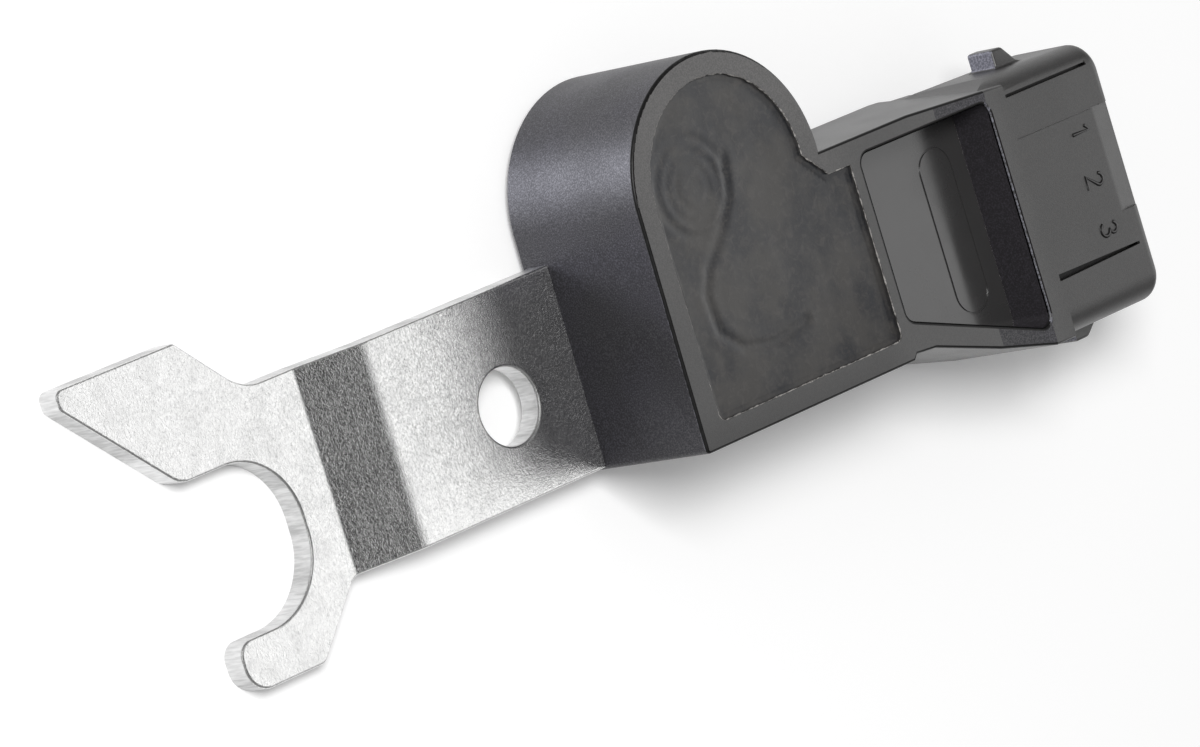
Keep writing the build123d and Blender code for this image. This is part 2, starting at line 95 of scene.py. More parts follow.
# Where the head's front takes painted shade and turns duller towards its foot, and takes a painted
# highlight towards its crown
HEAD_FOOT_Y = -13 * MM
HEAD_WAIST_Y = -4 * MM
HEAD_CROWN_Y = 27 * MM
RECESS_TOP_Y = SHELL_TOP_Y - 0.9 * MM
RECESS_FOOT_Y = -13.4 * MM
RECESS_FOOT_RISE = 0.42
RECESS_DEPTH = 5.1 * MM
NOSE_START_X = 62 * MM
NOSE_FOOT_Y = SHELL_TOP_Y + 0.7 * MM
PANEL_START_X = 61 * MM
PANEL_END_X = 73.6 * MM
THIN_GROOVE_Y = 10.85 * MM
WIDE_GROOVE_Y = -7.75 * MM
GROOVE_DEPTH = 0.9 * MM
# How near the front a face counts as part of it, and how near the potting's top
FRONT_MARGIN = 0.35 * MM
TOP_MARGIN = 0.05 * MM
NARROW_AREA = 4 * MM * MM
# Middle of the rings in the set resin, in mm, and each ring's radius, rise and width
RING_MIDDLE = (17.7, 14.4)
RINGS = (
    (4.0, 0.07, 0.3), (4.6, -0.08, 0.3), (3.3, -0.04, 0.25), (2.7, 0.03, 0.25), (2.1, -0.03, 0.25),
    (1.5, 0.03, 0.25),
)
# Outermost ring, which shows on the upper left only
HALF_RING = (5.4, 0.05, 0.35)
# The housing's material slots after the satin one, in the order in which its finishes are added
GRAINED, RECESS_FLOOR, EDGE, PAINTED_SHADE, NOSE_HIGHLIGHT, RECESS_WALL, EDGE_HIGHLIGHT, CORNER_HIGHLIGHT = range(1, 9)


class SENSOR_PG_plastic(bpy.types.PropertyGroup):
    """Moulded plastic of the housing."""

    colour: FloatVectorProperty(
        name="Colour", description="Plastic of the smooth faces", subtype="COLOR", size=3,
        min=0, max=1, default=(0.021, 0.0205, 0.0205),
    )
    wall_colour: FloatVectorProperty(
        name="Wall colour", description="Plastic of the grained side walls", subtype="COLOR", size=3,
        min=0, max=1, default=(0.017, 0.0162, 0.0195),
    )
    grain: FloatProperty(
        name="Grain", description="Size of the spark-eroded grain", default=0.15 * MM, unit="LENGTH",
    )
    head_end: FloatProperty(
        name="Head end", description="Where the head's grained walls end", default=38 * MM,
        unit="LENGTH",
    )
    band_start: FloatProperty(
        name="Band start", description="Where the neck's grained band begins",
        default=50.9 * MM, unit="LENGTH",
    )
    band_end: FloatProperty(
        name="Band end", description="Where the neck's grained band meets the flange",
        default=58.3 * MM, unit="LENGTH",
    )
    edge: FloatProperty(
        name="Edge", description="Rounding of the recess's front edges", default=0.32 * MM,
        unit="LENGTH",
    )
    fine_edge: FloatProperty(
        name="Fine edge", description="Rounding of the moulding's other sharp edges",
        default=0.11 * MM, unit="LENGTH",
    )
    step_lean: FloatProperty(
        name="Step lean", description="How far the step behind the socket leans back",
        default=2.4 * MM, unit="LENGTH",
    )
    nose_edge: FloatProperty(
        name="Nose edge", description="Rounding of the locking noses", default=0.3 * MM,
        unit="LENGTH",
    )
    # The band under the head's rim gets black painted shade, standing in for the rim rounding's dark
    # reflection.
    outline: FloatProperty(
        name="Outline", description="Depth of the dark parting line under the head's rim",
        default=0.13 * MM, unit="LENGTH",
    )
    # The band below that gets a pale painted highlight along the head's walls.
    painted_highlight: FloatProperty(
        name="Worn line", description="Depth of the pale worn line under the parting line",
        default=0.2 * MM, unit="LENGTH",
    )
    flash: FloatProperty(
        name="Flash", description="Thickness of the trimmed flash round the potting",
        default=0.085 * MM, unit="LENGTH",
    )


class SENSOR_PG_steel(bpy.types.PropertyGroup):
    """Zinc-plated sheet of the bracket."""

    colour: FloatVectorProperty(
        name="Colour", description="Zinc plating", subtype="COLOR", size=3, min=0, max=1,
        default=(0.85, 0.85, 0.845),
    )
    mottle: FloatProperty(
        name="Mottle", description="Size of the plating's crinkles", default=0.3 * MM, unit="LENGTH",
    )


class SENSOR_PG_resin(bpy.types.PropertyGroup):
    """Potting poured into the head."""

    meniscus: FloatProperty(
        name="Meniscus", description="Width of each step of the edge that climbs the wall",
        default=0.3 * MM, unit="LENGTH",
    )
    sag: FloatProperty(
        name="Sag", description="How far the middle lies under the edge", default=0.09 * MM,
        unit="LENGTH",
    )
    pitch: FloatProperty(
        name="Pitch", description="Fineness of the poured surface's mesh", default=0.38 * MM,
        unit="LENGTH",
    )


class SENSOR_PG_numbers(bpy.types.PropertyGroup):
    """Raised pin numbers on the socket's front."""

    height: FloatProperty(
        name="Height", description="Height of a digit", default=2.4 * MM, unit="LENGTH",
    )
    relief: FloatProperty(
        name="Relief", description="How far the digits stand out", default=0.12 * MM, unit="LENGTH",
    )
    stroke: FloatProperty(
        name="Stroke", description="Radius of a digit's stroke", default=0.24 * MM, unit="LENGTH",
    )
    inset: FloatProperty(
        name="Inset", description="From the socket's mouth to the digits' middle",
        default=5.55 * MM, unit="LENGTH",
    )
    first_y: FloatProperty(
        name="First", description="Y of the first digit's middle", default=4.75 * MM, unit="LENGTH",
    )
    pitch: FloatProperty(
        name="Pitch", description="From one digit to the next", default=5.0 * MM, unit="LENGTH",
    )


class SENSOR_PG_studio(bpy.types.PropertyGroup):
    """Camera, floor and lamps."""

    camera_place: FloatVectorProperty(
        name="Camera place", description="Where the camera stands", subtype="TRANSLATION", size=3,
        default=(-0.430358, 0.082278, 0.487902),
    )
    camera_turn: FloatVectorProperty(
        name="Camera turn", description="The camera's rotation", subtype="EULER", size=3,
        default=(math.radians(8.4909), math.radians(-42.1533), math.radians(-23.148)),
    )
    lens: FloatProperty(
        name="Lens", description="Focal length in mm on a 36 mm wide image", default=210.25,
    )
    ambient: FloatProperty(
        name="Ambient", description="Even light from all round", default=0.35,
    )
    floor_glow: FloatProperty(
        name="Floor glow", description="Light of the floor itself, as on a lit table", default=0.09,
    )


class SENSOR_PG_settings(bpy.types.PropertyGroup):
    """All sizes and colours."""

    plastic: PointerProperty(type=SENSOR_PG_plastic)
    steel: PointerProperty(type=SENSOR_PG_steel)
    resin: PointerProperty(type=SENSOR_PG_resin)
    numbers: PointerProperty(type=SENSOR_PG_numbers)
    studio: PointerProperty(type=SENSOR_PG_studio)


class Finish:
    """A procedural material whose nodes are added by name."""

    def __init__(self, name):
        self.material = bpy.data.materials.new(name)
        self.material.use_nodes = True
        self.tree = self.material.node_tree
        self.shader = self.tree.nodes["Principled BSDF"]
        self.place = self.node("ShaderNodeTexCoord").outputs["Object"]

    def node(self, kind, settings=None, **inputs):
        """Add a node; an input is a number, a colour or another node's output."""
        made = self.tree.nodes.new(kind)
        for name, value in (settings or {}).items():
            setattr(made, name, value)
        for name, value in inputs.items():
            key = int(name[1:]) if name[0] == "i" and name[1:].isdigit() else name.replace("_", " ")
            self.set(made.inputs[key], value)
        return made

    def set(self, socket, value):
        """Link an output to a socket, or write a value into it."""
        if isinstance(value, bpy.types.NodeSocket):
            self.tree.links.new(value, socket)
        elif socket.type == "RGBA" and len(value) == 3:
            socket.default_value = (*value, 1)
        else:
            socket.default_value = value

    def noise(self, size, detail=2.0, roughness=0.5, place=None):
        """Noise with features of about that size in metres."""
        made = self.node("ShaderNodeTexNoise", Scale=1 / size, Detail=detail, Roughness=roughness)
        self.set(made.inputs["Vector"], place or self.place)
        return made.outputs["Fac"]

    def ramp(self, value, low, high, out_low=0.0, out_high=1.0):
        """Smooth step of a value between two limits."""
        made = self.node("ShaderNodeMapRange", {"interpolation_type": "SMOOTHSTEP"}, Value=value)
        for name, number in zip(("From Min", "From Max", "To Min", "To Max"),
                                (low, high, out_low, out_high)):
            made.inputs[name].default_value = number
        return made.outputs["Result"]

    def math(self, operation, first, second=0.0, third=0.0):
        """One Math node."""
        made = self.node("ShaderNodeMath", {"operation": operation}, i0=first, i1=second, i2=third)
        return made.outputs[0]

    def mix(self, share, first, second):
        """Mix of two colours."""
        made = self.node("ShaderNodeMix", {"data_type": "RGBA"}, Factor=share)
        self.set(made.inputs[6], first)
        self.set(made.inputs[7], second)
        return made.outputs[2]

    def bump(self, height, strength, distance, normal=None):
        """Bump over an optional earlier bump."""
        made = self.node("ShaderNodeBump", Strength=strength, Distance=distance, Height=height)
        if normal:
            self.set(made.inputs["Normal"], normal)
        return made.outputs["Normal"]

    def axes(self, vector):
        """The three numbers of a vector."""
        return self.node("ShaderNodeSeparateXYZ", Vector=vector).outputs


def plastic_finish(settings):
    """Satin plastic of front and back, with a painted highlight towards the head's crown and painted shade
    towards its foot; duller on the foot and the socket.
    """
    finish = Finish("satin_plastic")
    x, y = finish.axes(finish.place)[:2]
    grain = finish.noise(settings.grain * 0.7, detail=3)
    clouds = finish.noise(6 * MM, detail=3)
    mottle = finish.ramp(finish.noise(settings.grain, detail=2), 0.35, 0.65)
    smooth = finish.mix(clouds, settings.colour, [c * 1.15 for c in settings.colour])
    smooth = finish.mix(finish.math("MULTIPLY", mottle, 0.5), smooth, (0.045, 0.043, 0.042))
    on_head = finish.ramp(x, HEAD_END_X, HEAD_END_X + 6 * MM, 1, 0)
    # Painted shade: darker towards the head's foot.
    foot = finish.math("MULTIPLY", on_head, finish.ramp(y, HEAD_FOOT_Y, HEAD_WAIST_Y, 0.6, 0))
    smooth = finish.mix(foot, smooth, (0.008, 0.008, 0.008))
    # Painted highlight: paler towards the head's crown, where the light falls from above.
    crown = finish.math("MULTIPLY", on_head, finish.ramp(y, HEAD_WAIST_Y, HEAD_CROWN_Y))
    smooth = finish.mix(crown, smooth, finish.mix(mottle, (0.05, 0.048, 0.048), (0.085, 0.082, 0.08)))
    finish.set(finish.shader.inputs["Base Color"], smooth)
    finish.set(finish.shader.inputs["Roughness"], finish.ramp(clouds, 0.3, 0.7, 0.38, 0.42))
    on_socket = finish.ramp(x, FLANGE_X, FLANGE_X + 3 * MM)
    dulled = finish.math("MULTIPLY_ADD", on_socket, 0.13, finish.math("MULTIPLY", foot, 0.45))
    finish.set(finish.shader.inputs["Specular IOR Level"], finish.math("SUBTRACT", 0.85, dulled))
    fine = finish.bump(grain, 0.9, 0.018 * MM)
    finish.set(finish.shader.inputs["Normal"], fine)
    return finish.material


def wall_finish(settings):
    """Spark-eroded walls: dark, with a fine grain that sparkles where the light glances off."""
    finish = Finish("grained_plastic")
    grain = finish.noise(settings.grain, detail=1)
    clouds = finish.noise(6 * MM, detail=3)
    speckle = finish.ramp(finish.noise(settings.grain, detail=3, roughness=0.6), 0.4, 0.72)
    patches = finish.ramp(finish.noise(9 * MM, detail=2), 0.35, 0.65)
    pale = finish.mix(patches, (0.026, 0.025, 0.029), (0.033, 0.031, 0.043))
    walls = finish.mix(speckle, settings.wall_colour, pale)
    finish.set(finish.shader.inputs["Base Color"], walls)
    finish.set(finish.shader.inputs["Roughness"], finish.ramp(clouds, 0.3, 0.7, 0.4, 0.47))
    finish.set(finish.shader.inputs["Specular IOR Level"], finish.math("MULTIPLY_ADD", speckle, 0.5, 0.35))
    finish.set(finish.shader.inputs["Normal"], finish.bump(grain, 0.7, 0.02 * MM))
    return finish.material


def nose_highlight_finish(settings):
    """Back of the locking nose: a pale grain, painted highlight where the light falls on it."""
    finish = Finish("scuffed_plastic")
    grain = finish.noise(settings.grain * 1.5, detail=2)
    highlight_specks = finish.ramp(grain, 0.4, 0.64)
    colour = finish.mix(highlight_specks, (0.07, 0.07, 0.085), (0.17, 0.17, 0.2))
    finish.set(finish.shader.inputs["Base Color"], colour)
    finish.set(finish.shader.inputs["Roughness"], finish.ramp(grain, 0.3, 0.7, 0.45, 0.6))
    finish.set(finish.shader.inputs["Normal"], finish.bump(grain, 0.6, 0.03 * MM))
    return finish.material


def painted_shade_finish(settings):
    """Black painted shade for the band under the head's rim, the grooves, the digits' sides and roundings
    that catch no light.
    """
    finish = Finish("plastic_outline")
    skin = finish.noise(0.5 * MM, detail=3)
    colour = finish.mix(skin, [c * 0.2 for c in settings.colour], [c * 0.4 for c in settings.colour])
    finish.set(finish.shader.inputs["Base Color"], colour)
    finish.shader.inputs["Specular IOR Level"].default_value = 0.2
    finish.set(finish.shader.inputs["Roughness"], finish.ramp(skin, 0.3, 0.7, 0.32, 0.4))
    finish.set(finish.shader.inputs["Normal"], finish.bump(skin, 0.3, 0.01 * MM))
    return finish.material


def recess_wall_finish(settings):
    """Walls of the recess: nearly black, with a faint fine grain."""
    finish = Finish("recess_walls")
    grain = finish.noise(settings.grain, detail=2)
    speckle = finish.ramp(grain, 0.45, 0.65)
    colour = finish.mix(speckle, (0.026, 0.024, 0.027), (0.046, 0.042, 0.05))
    finish.set(finish.shader.inputs["Base Color"], colour)
    finish.set(finish.shader.inputs["Roughness"], finish.ramp(grain, 0.3, 0.7, 0.45, 0.6))
    finish.shader.inputs["Specular IOR Level"].default_value = 0.3
    finish.set(finish.shader.inputs["Normal"], finish.bump(grain, 0.6, 0.02 * MM))
    return finish.material


def painted_highlight_finish(name, settings, pale):
    """Painted highlight in pale flecks along an edge line, hardly any on the head's crown."""
    finish = Finish(name)
    x, y = finish.axes(finish.place)[:2]
    flecks = finish.ramp(finish.noise(0.5 * MM, detail=5, roughness=0.75), 0.42, 0.6)
    on_head = finish.ramp(x, HEAD_END_X, RECESS_LEFT_X, 1, 0)
    crown = finish.math("MULTIPLY", on_head, finish.ramp(y, 3 * MM, 13 * MM))
    share = finish.math("MULTIPLY", flecks, finish.math("MULTIPLY_ADD", crown, -0.85, 1.0))
    painted_highlight = finish.mix(share, [c * 1.2 for c in settings.colour], pale)
    finish.set(finish.shader.inputs["Base Color"], painted_highlight)
    finish.set(finish.shader.inputs["Roughness"], finish.ramp(flecks, 0, 1, 0.4, 0.55))
    finish.set(finish.shader.inputs["Normal"], finish.bump(flecks, 0.4, 0.02 * MM))
    return finish.material


def recess_finish(settings):
    """Polished floor of the neck's recess, with faint tool marks along X."""
    finish = Finish("polished_recess_floor")
    stretched = finish.node("ShaderNodeMapping", Vector=finish.place, Scale=(0.12, 1, 1)).outputs[0]
    marks = finish.noise(0.35 * MM, detail=4, place=stretched)
    clouds = finish.noise(5 * MM, detail=3)
    colour = finish.mix(clouds, [c * 2.0 for c in settings.colour], [c * 1.4 for c in settings.colour])
    finish.set(finish.shader.inputs["Base Color"], colour)
    finish.set(finish.shader.inputs["Roughness"], finish.ramp(clouds, 0.3, 0.7, 0.14, 0.22))
    finish.shader.inputs["Specular IOR Level"].default_value = 1.0
    finish.set(finish.shader.inputs["Normal"], finish.bump(marks, 0.3, 0.008 * MM))
    return finish.material


def edge_finish(settings):
    """Rounded edges of the moulding, a little smoother than its faces."""
    finish = Finish("plastic_edge")
    skin = finish.noise(0.4 * MM, detail=4)
    colour = finish.mix(skin, settings.colour, [c * 1.5 for c in settings.colour])
    finish.set(finish.shader.inputs["Base Color"], colour)
    finish.shader.inputs["Specular IOR Level"].default_value = 0.85
    finish.set(finish.shader.inputs["Roughness"], finish.ramp(skin, 0.3, 0.7, 0.3, 0.4))
    finish.set(finish.shader.inputs["Normal"], finish.bump(skin, 0.3, 0.02 * MM))
    return finish.material


def flash_finish():
    """Trimmed flash: torn plastic, flecked with a pale painted highlight, mostly towards the neck."""
    finish = Finish("trimmed_flash")
    x, y = finish.axes(finish.place)[:2]
    torn = finish.noise(0.3 * MM, detail=5, roughness=0.75)
    # The painted highlight grows stronger towards the neck.
    highlit_side = finish.ramp(finish.math("SUBTRACT", x, finish.math("MULTIPLY", y, 0.5)), 10 * MM, 26 * MM)
    strength = finish.math("MULTIPLY_ADD", highlit_side, 0.55, 0.25)
    pale = finish.math("MULTIPLY", finish.ramp(torn, 0.36, 0.56), strength)
    painted_highlight = finish.mix(pale, (0.06, 0.058, 0.056), (0.45, 0.43, 0.41))
    finish.set(finish.shader.inputs["Base Color"], painted_highlight)
    finish.set(finish.shader.inputs["Roughness"], finish.ramp(torn, 0.3, 0.7, 0.4, 0.6))
    finish.set(finish.shader.inputs["Normal"], finish.bump(torn, 0.6, 0.04 * MM))
    return finish.material


def zinc_finish(settings):
    """Dull zinc plating: crinkled and mottled on the faces, streaked and greyer on the cut walls."""
    finish = Finish("zinc_plating")
    fine = finish.noise(settings.mottle * 0.5, detail=3, roughness=0.6)
    crinkle = finish.node(
        "ShaderNodeTexNoise", Vector=finish.place, Scale=1 / settings.mottle, Detail=3, Roughness=0.6,
        Distortion=1.6,
    ).outputs["Fac"]
    clouds = finish.noise(4 * MM, detail=5, roughness=0.65)
    spots = finish.ramp(finish.noise(0.45 * MM, detail=4), 0.5, 0.7)
    dark, pale = [c * 0.97 for c in settings.colour], [c * 1.03 for c in settings.colour]
    face = finish.mix(finish.ramp(crinkle, 0.35, 0.65), dark, pale)
    patches = finish.ramp(finish.noise(2.2 * MM, detail=3, roughness=0.6), 0.42, 0.66)
    face = finish.mix(finish.math("MULTIPLY", patches, 0.35), face, [c * 0.78 for c in settings.colour])
    face = finish.mix(finish.math("MULTIPLY", spots, 0.2), face, (0.5, 0.5, 0.51))
    stretched = finish.node("ShaderNodeMapping", Vector=finish.place, Scale=(1, 1, 0.12)).outputs[0]
    streaks = finish.ramp(finish.noise(0.25 * MM, detail=3, place=stretched), 0.3, 0.7, 0.0, 0.45)
    slow = finish.ramp(finish.noise(4 * MM, detail=2, place=stretched), 0.4, 0.6, 0.0, 0.55)
    cut = finish.mix(finish.math("ADD", streaks, slow), (0.42, 0.42, 0.42), (0.84, 0.84, 0.84))
    normal = finish.node("ShaderNodeNewGeometry").outputs["True Normal"]
    tilt = finish.math("ABSOLUTE", finish.axes(normal)[2])
    on_wall = finish.ramp(tilt, 0.25, 0.45, 1, 0)
    finish.set(finish.shader.inputs["Base Color"], finish.mix(on_wall, face, cut))
    finish.shader.inputs["Metallic"].default_value = 1.0
    rough = finish.math("MULTIPLY_ADD", on_wall, 0.12, finish.ramp(clouds, 0.3, 0.7, 0.2, 0.25))
    finish.set(finish.shader.inputs["Roughness"], rough)
    broad = finish.bump(crinkle, 1.0, 0.034 * MM)
    finish.set(finish.shader.inputs["Normal"], finish.bump(fine, 0.6, 0.014 * MM, broad))
    return finish.material


def potting_finish():
    """Poured resin: matt and cloudy, with fine cells and pores, duller at the foot and right."""
    finish = Finish("potting_resin")
    clouds = finish.noise(5 * MM, detail=4, roughness=0.6)
    cells = finish.node(
        "ShaderNodeTexNoise", Vector=finish.place, Scale=1 / (0.9 * MM), Detail=4, Roughness=0.6,
        Distortion=0.8,
    ).outputs["Fac"]
    colour = finish.mix(finish.ramp(clouds, 0.35, 0.65), (0.012, 0.013, 0.016), (0.030, 0.028, 0.026))
    pores = finish.ramp(finish.noise(0.35 * MM, detail=4, roughness=0.7), 0.5, 0.64)
    pale = finish.math("ADD", finish.ramp(cells, 0.5, 0.66, 0.0, 0.35), finish.math("MULTIPLY", pores, 0.3))
    finish.set(finish.shader.inputs["Base Color"], finish.mix(pale, colour, (0.058, 0.053, 0.05)))
    rough = finish.ramp(clouds, 0.3, 0.7, 0.38, 0.5)
    finish.set(finish.shader.inputs["Roughness"], finish.math("MULTIPLY_ADD", pores, 0.08, rough))
    x, y = finish.axes(finish.place)[:2]
    low = finish.ramp(y, -12 * MM, 6 * MM, 0.32, 0)
    right = finish.ramp(x, 24 * MM, 36 * MM, 0, 0.15)
    cloudy = finish.ramp(clouds, 0.35, 0.65, 0.62, 0.82)
    gloss = finish.math("SUBTRACT", cloudy, finish.math("ADD", low, right))
    finish.set(finish.shader.inputs["Specular IOR Level"], gloss)
    finish.set(finish.shader.inputs["Normal"], finish.bump(cells, 0.5, 0.03 * MM))
    return finish.material


def plain_metal(name, colour, roughness):
    """Tin, solder or bare metal with a fine uneven skin."""
    finish = Finish(name)
    skin = finish.noise(0.4 * MM, detail=3)
    finish.set(finish.shader.inputs["Base Color"], finish.mix(skin, colour, [c * 0.85 for c in colour]))
    finish.shader.inputs["Metallic"].default_value = 1.0
    finish.set(finish.shader.inputs["Roughness"], finish.ramp(skin, 0.3, 0.7, roughness, roughness + 0.12))
    finish.set(finish.shader.inputs["Normal"], finish.bump(skin, 0.2, 0.01 * MM))
    return finish.material


def plain_dull(name, colour, roughness):
    """Laminate, ceramic or unpolished plastic with a fine grain."""
    finish = Finish(name)
    skin = finish.noise(0.3 * MM, detail=3)
    finish.set(finish.shader.inputs["Base Color"], finish.mix(skin, colour, [c * 1.25 for c in colour]))
    finish.set(finish.shader.inputs["Roughness"], finish.ramp(skin, 0.3, 0.7, roughness, roughness + 0.1))
    finish.set(finish.shader.inputs["Normal"], finish.bump(skin, 0.2, 0.01 * MM))
    return finish.material


def put_finish(piece, material):
    """Give a piece one material."""
    piece.data.materials.clear()
    piece.data.materials.append(material)


def only(piece):
    """Select one piece and nothing else."""
    bpy.ops.object.select_all(action="DESELECT")
    piece.select_set(True)
    bpy.context.view_layer.objects.active = piece


def merged_copy(node, name):
    """A copy of a CAD node, its loose facets joined and flat faces made whole."""
    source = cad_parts[node]
    piece = bpy.data.objects.new(name, source.data.copy())
    bpy.context.scene.collection.objects.link(piece)
    piece.data.materials.clear()
    only(piece)
    bpy.ops.object.mode_set(mode="EDIT")
    bpy.ops.mesh.customdata_custom_splitnormals_clear()
    bpy.ops.mesh.select_all(action="SELECT")
    bpy.ops.mesh.remove_doubles(threshold=0.001 * MM)
    bpy.ops.mesh.dissolve_limited(angle_limit=math.radians(0.5))
    bpy.ops.object.mode_set(mode="OBJECT")
    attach(piece, BODY)
    return piece


def choose_sharp(piece, chosen):
    """Select the sharp edges whose two ends pass a test."""
    only(piece)
    bpy.ops.object.mode_set(mode="EDIT")
    bpy.ops.mesh.select_mode(type="EDGE")
    bpy.ops.mesh.select_all(action="DESELECT")
    bpy.ops.mesh.edges_select_sharp(sharpness=math.radians(40))
    bpy.ops.object.mode_set(mode="OBJECT")
    sharp = {edge.index for edge in piece.data.edges if edge.select}
    bpy.ops.object.mode_set(mode="EDIT")
    bpy.ops.mesh.select_all(action="DESELECT")
    bpy.ops.object.mode_set(mode="OBJECT")
    for edge in piece.data.edges:
        ends = [piece.data.vertices[i] for i in edge.vertices]
        if edge.index in sharp and chosen([end.co for end in ends]):
            edge.select = True
            for end in ends:
                end.select = True


def round_broadly(piece, width, slot, chosen):
    """Round some sharp edges by the full width, whatever lies beside them."""
    choose_sharp(piece, chosen)
    bpy.ops.object.mode_set(mode="EDIT")
    bpy.ops.mesh.bevel(offset=width, segments=3, clamp_overlap=False, material=slot)
    bpy.ops.object.mode_set(mode="OBJECT")


def round_edges(piece, width, slot, chosen):
    """Round the other sharp edges as far as the mesh leaves room, with their own finish."""
    choose_sharp(piece, chosen)
    weights = piece.data.attributes.new("bevel_weight_edge", "FLOAT", "EDGE")
    for edge in piece.data.edges:
        weights.data[edge.index].value = float(edge.select)
    bevel = piece.modifiers.new("edges", "BEVEL")
    bevel.width = width
    bevel.segments = 2
    bevel.limit_method = "WEIGHT"
    bevel.use_clamp_overlap = True
    bevel.material = slot
    bpy.ops.object.modifier_apply(modifier=bevel.name)


def smooth(piece, angle):
    """Smooth shading that keeps flat faces flat."""
    only(piece)
    bpy.ops.object.shade_smooth_by_angle(angle=math.radians(angle))
    weighted = piece.modifiers.new("weighted", "WEIGHTED_NORMAL")
    weighted.keep_sharp = True
    weighted.weight = 100
    bpy.ops.object.modifier_apply(modifier=weighted.name)


def cut_across(piece, axis, places):
    """Cut a mesh by planes square to an axis, leaving it whole."""
    only(piece)
    bpy.ops.object.mode_set(mode="EDIT")
    for place in places:
        bpy.ops.mesh.select_all(action="SELECT")
        point = Vector([place if i == axis else 0 for i in range(3)])
        square = Vector([1 if i == axis else 0 for i in range(3)])
        bpy.ops.mesh.bisect(plane_co=point, plane_no=square)
    bpy.ops.object.mode_set(mode="OBJECT")


def settings():
    """The scene's sizes and colours."""
    return bpy.context.scene.sensor


class SENSOR_OT_housing(bpy.types.Operator):
    """Round the housing's edges and give each kind of face its plastic"""

    bl_idname = "sensor.housing"
    bl_label = "Housing"

    def execute(self, context):
        plastic = settings().plastic
        piece = merged_copy("housing", "moulded_housing")
        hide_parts("housing")
        for finish in (
            plastic_finish, wall_finish, recess_finish, edge_finish, painted_shade_finish, nose_highlight_finish,
            recess_wall_finish,
        ):
            piece.data.materials.append(finish(plastic))
        # Painted highlights: pale flecks along edges, and a paler line in the recess's inner corner.
        piece.data.materials.append(painted_highlight_finish("worn_edge", plastic, (0.17, 0.17, 0.2)))
        piece.data.materials.append(painted_highlight_finish("pale_corner", plastic, (0.75, 0.73, 0.72)))
        cut_across(piece, 0, (plastic.band_start, plastic.band_end))
        cut_across(piece, 2, (RIM_Z - plastic.outline, RIM_Z - plastic.outline - plastic.painted_highlight))
        self.lean_step(piece, plastic)
        self.sort_faces(piece, plastic)
        # The recess's front edges are rounded in black painted shade.
        round_broadly(piece, plastic.edge, PAINTED_SHADE, self.on_mouth)
        round_broadly(piece, plastic.nose_edge, -1, lambda ends: all(map(self.on_nose, ends)))
        round_edges(piece, plastic.fine_edge, EDGE, lambda ends: not all(map(self.stays_sharp, ends)))
        self.sort_roundings(piece, plastic)
        smooth(piece, 35)
        return {"FINISHED"}

    def lean_step(self, piece, plastic):
        """Make a ramp of the low step where the socket's shell rises above the neck."""
        for vertex in piece.data.vertices:
            x, y, z = vertex.co
            rise = (y + NECK_FALL * z - NECK_TOP_Y) / STEP_RISE
            along = (x - FLANGE_X) / STEP_REACH
            if rise > 0 and -0.01 < along < 1:
                vertex.co.x += plastic.step_lean * min(1, rise) * (1 - max(0, along))

    def sort_faces(self, piece, plastic):
        """Grain on the head's walls and the neck's band, polish on the recess's floor, black painted shade
        in lines and grooves, a painted highlight under the rim and on the nose.
        """
        for face in piece.data.polygons:
            middle = face.center
            tilt = abs(face.normal.z)
            front = middle.z > RIM_Z - FRONT_MARGIN
            outward = (middle - POTTING_MIDDLE).xy.dot(face.normal.xy) > 0
            head_wall = middle.x < plastic.head_end and tilt < 0.6 and outward
            narrow = face.area < NARROW_AREA
            # Narrow tilted front faces and the band under the head's rim get black painted shade, the band
            # below it a painted highlight.
            if front and narrow and 0.15 < tilt < 0.98 and middle.x < plastic.band_end:
                face.material_index = PAINTED_SHADE
            elif front and tilt > 0.9 and plastic.band_start < middle.x < plastic.band_end:
                face.material_index = GRAINED
            elif head_wall and middle.z > RIM_Z - plastic.outline:
                face.material_index = PAINTED_SHADE
            elif head_wall and middle.z > RIM_Z - plastic.outline - plastic.painted_highlight:
                face.material_index = EDGE_HIGHLIGHT
            elif head_wall:
                face.material_index = GRAINED
            elif self.in_recess(middle):
                upright = tilt < 0.6 and middle.z > RIM_Z - RECESS_DEPTH + 0.1 * MM
                face.material_index = RECESS_WALL if upright else RECESS_FLOOR
            # The grooves' insides get black painted shade.
            elif self.in_groove(middle):
                face.material_index = PAINTED_SHADE
            # The nose's back face gets a painted highlight.
            elif self.on_nose(middle) and face.normal.x < -0.9:
                face.material_index = NOSE_HIGHLIGHT

    def in_recess(self, place):
        """True inside the neck's open recess."""
        across = RECESS_LEFT_X < place.x < FLANGE_X + 0.2 * MM and place.y < RECESS_TOP_Y
        return across and RIM_Z - RECESS_DEPTH - 0.3 * MM < place.z < RIM_Z - 0.1 * MM

    def in_groove(self, place):
        """True inside one of the two grooves of the socket's front."""
        deep = RIM_Z - GROOVE_DEPTH < place.z < RIM_Z - FRONT_MARGIN
        within = abs(place.y - THIN_GROOVE_Y) < 0.3 * MM or abs(place.y - WIDE_GROOVE_Y) < 0.5 * MM
        return deep and within and PANEL_START_X < place.x < PANEL_END_X

    def on_nose(self, place):
        """True on a locking nose, above or below the socket."""
        return place.x > NOSE_START_X and not SHELL_BOTTOM_Y < place.y < NOSE_FOOT_Y

    def stays_sharp(self, place):
        """True on the grooves and on the shallow mark in the recess's floor."""
        on_mark = RECESS_LEFT_X < place.x < FLANGE_X - MM and place.y < RECESS_TOP_Y
        on_mark = on_mark and abs(place.z - RIM_Z + RECESS_DEPTH) < MM
        margin = 0.1 * MM
        along_panel = PANEL_START_X - margin < place.x < PANEL_END_X + margin
        across = abs(place.y - THIN_GROOVE_Y) < 0.6 * MM or abs(place.y - WIDE_GROOVE_Y) < 0.7 * MM
        return on_mark or place.z > RIM_Z - MM and along_panel and across

